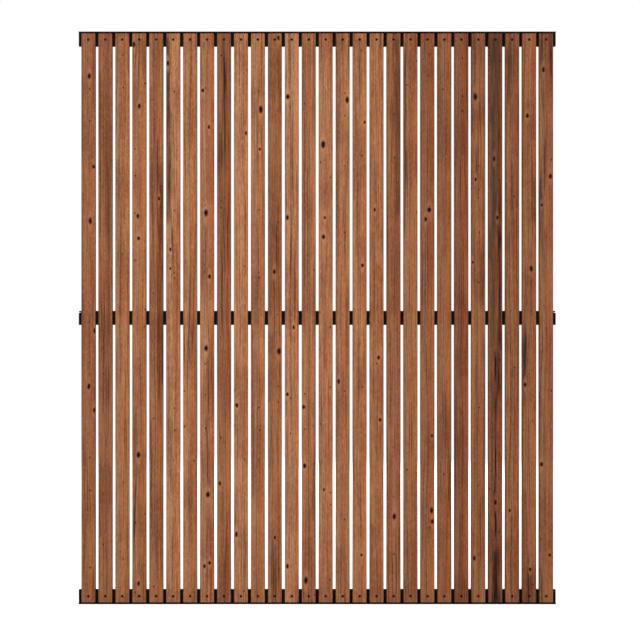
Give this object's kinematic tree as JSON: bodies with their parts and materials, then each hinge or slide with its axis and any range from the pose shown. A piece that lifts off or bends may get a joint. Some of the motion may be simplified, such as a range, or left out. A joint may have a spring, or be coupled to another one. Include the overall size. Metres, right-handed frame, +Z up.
{
  "type": "wooden slat fence panel",
  "caption": "Upright fence panel of spaced vertical wooden slats screwed to black folded steel rails at top, middle and bottom.",
  "frame": {"origin": "under the middle of the panel at the underside of the bottom rail, in the plane where the slats' backs lie on the rails", "axes": "+X along the rails to the viewer's right, +Y from the front to the back, +Z up along the slats"},
  "size_m": [1.502, 0.04, 1.8],
  "materials": {
    "slat_wood": "knotty softwood, brown stained, dull satin",
    "rail_steel": "black powder coat, satin",
    "screw_steel": "black coated steel"
  },
  "bodies": {
    "root": {"slat_01": "slat_wood", "slat_02": "slat_wood", "slat_03": "slat_wood", "slat_04": "slat_wood", "slat_05": "slat_wood", "slat_06": "slat_wood", "slat_07": "slat_wood", "slat_08": "slat_wood", "slat_09": "slat_wood", "slat_10": "slat_wood", "slat_11": "slat_wood", "slat_12": "slat_wood", "slat_13": "slat_wood", "slat_14": "slat_wood", "slat_15": "slat_wood", "slat_16": "slat_wood", "slat_17": "slat_wood", "slat_18": "slat_wood", "slat_19": "slat_wood", "slat_20": "slat_wood", "slat_21": "slat_wood", "slat_22": "slat_wood", "slat_23": "slat_wood", "slat_24": "slat_wood", "slat_25": "slat_wood", "slat_26": "slat_wood", "slat_27": "slat_wood", "slat_28": "slat_wood", "bottom_rail": "rail_steel", "middle_rail": "rail_steel", "top_rail": "rail_steel", "bottom_rail_screws": "screw_steel", "middle_rail_screws": "screw_steel", "top_rail_screws": "screw_steel"}
  },
  "joints": []
}
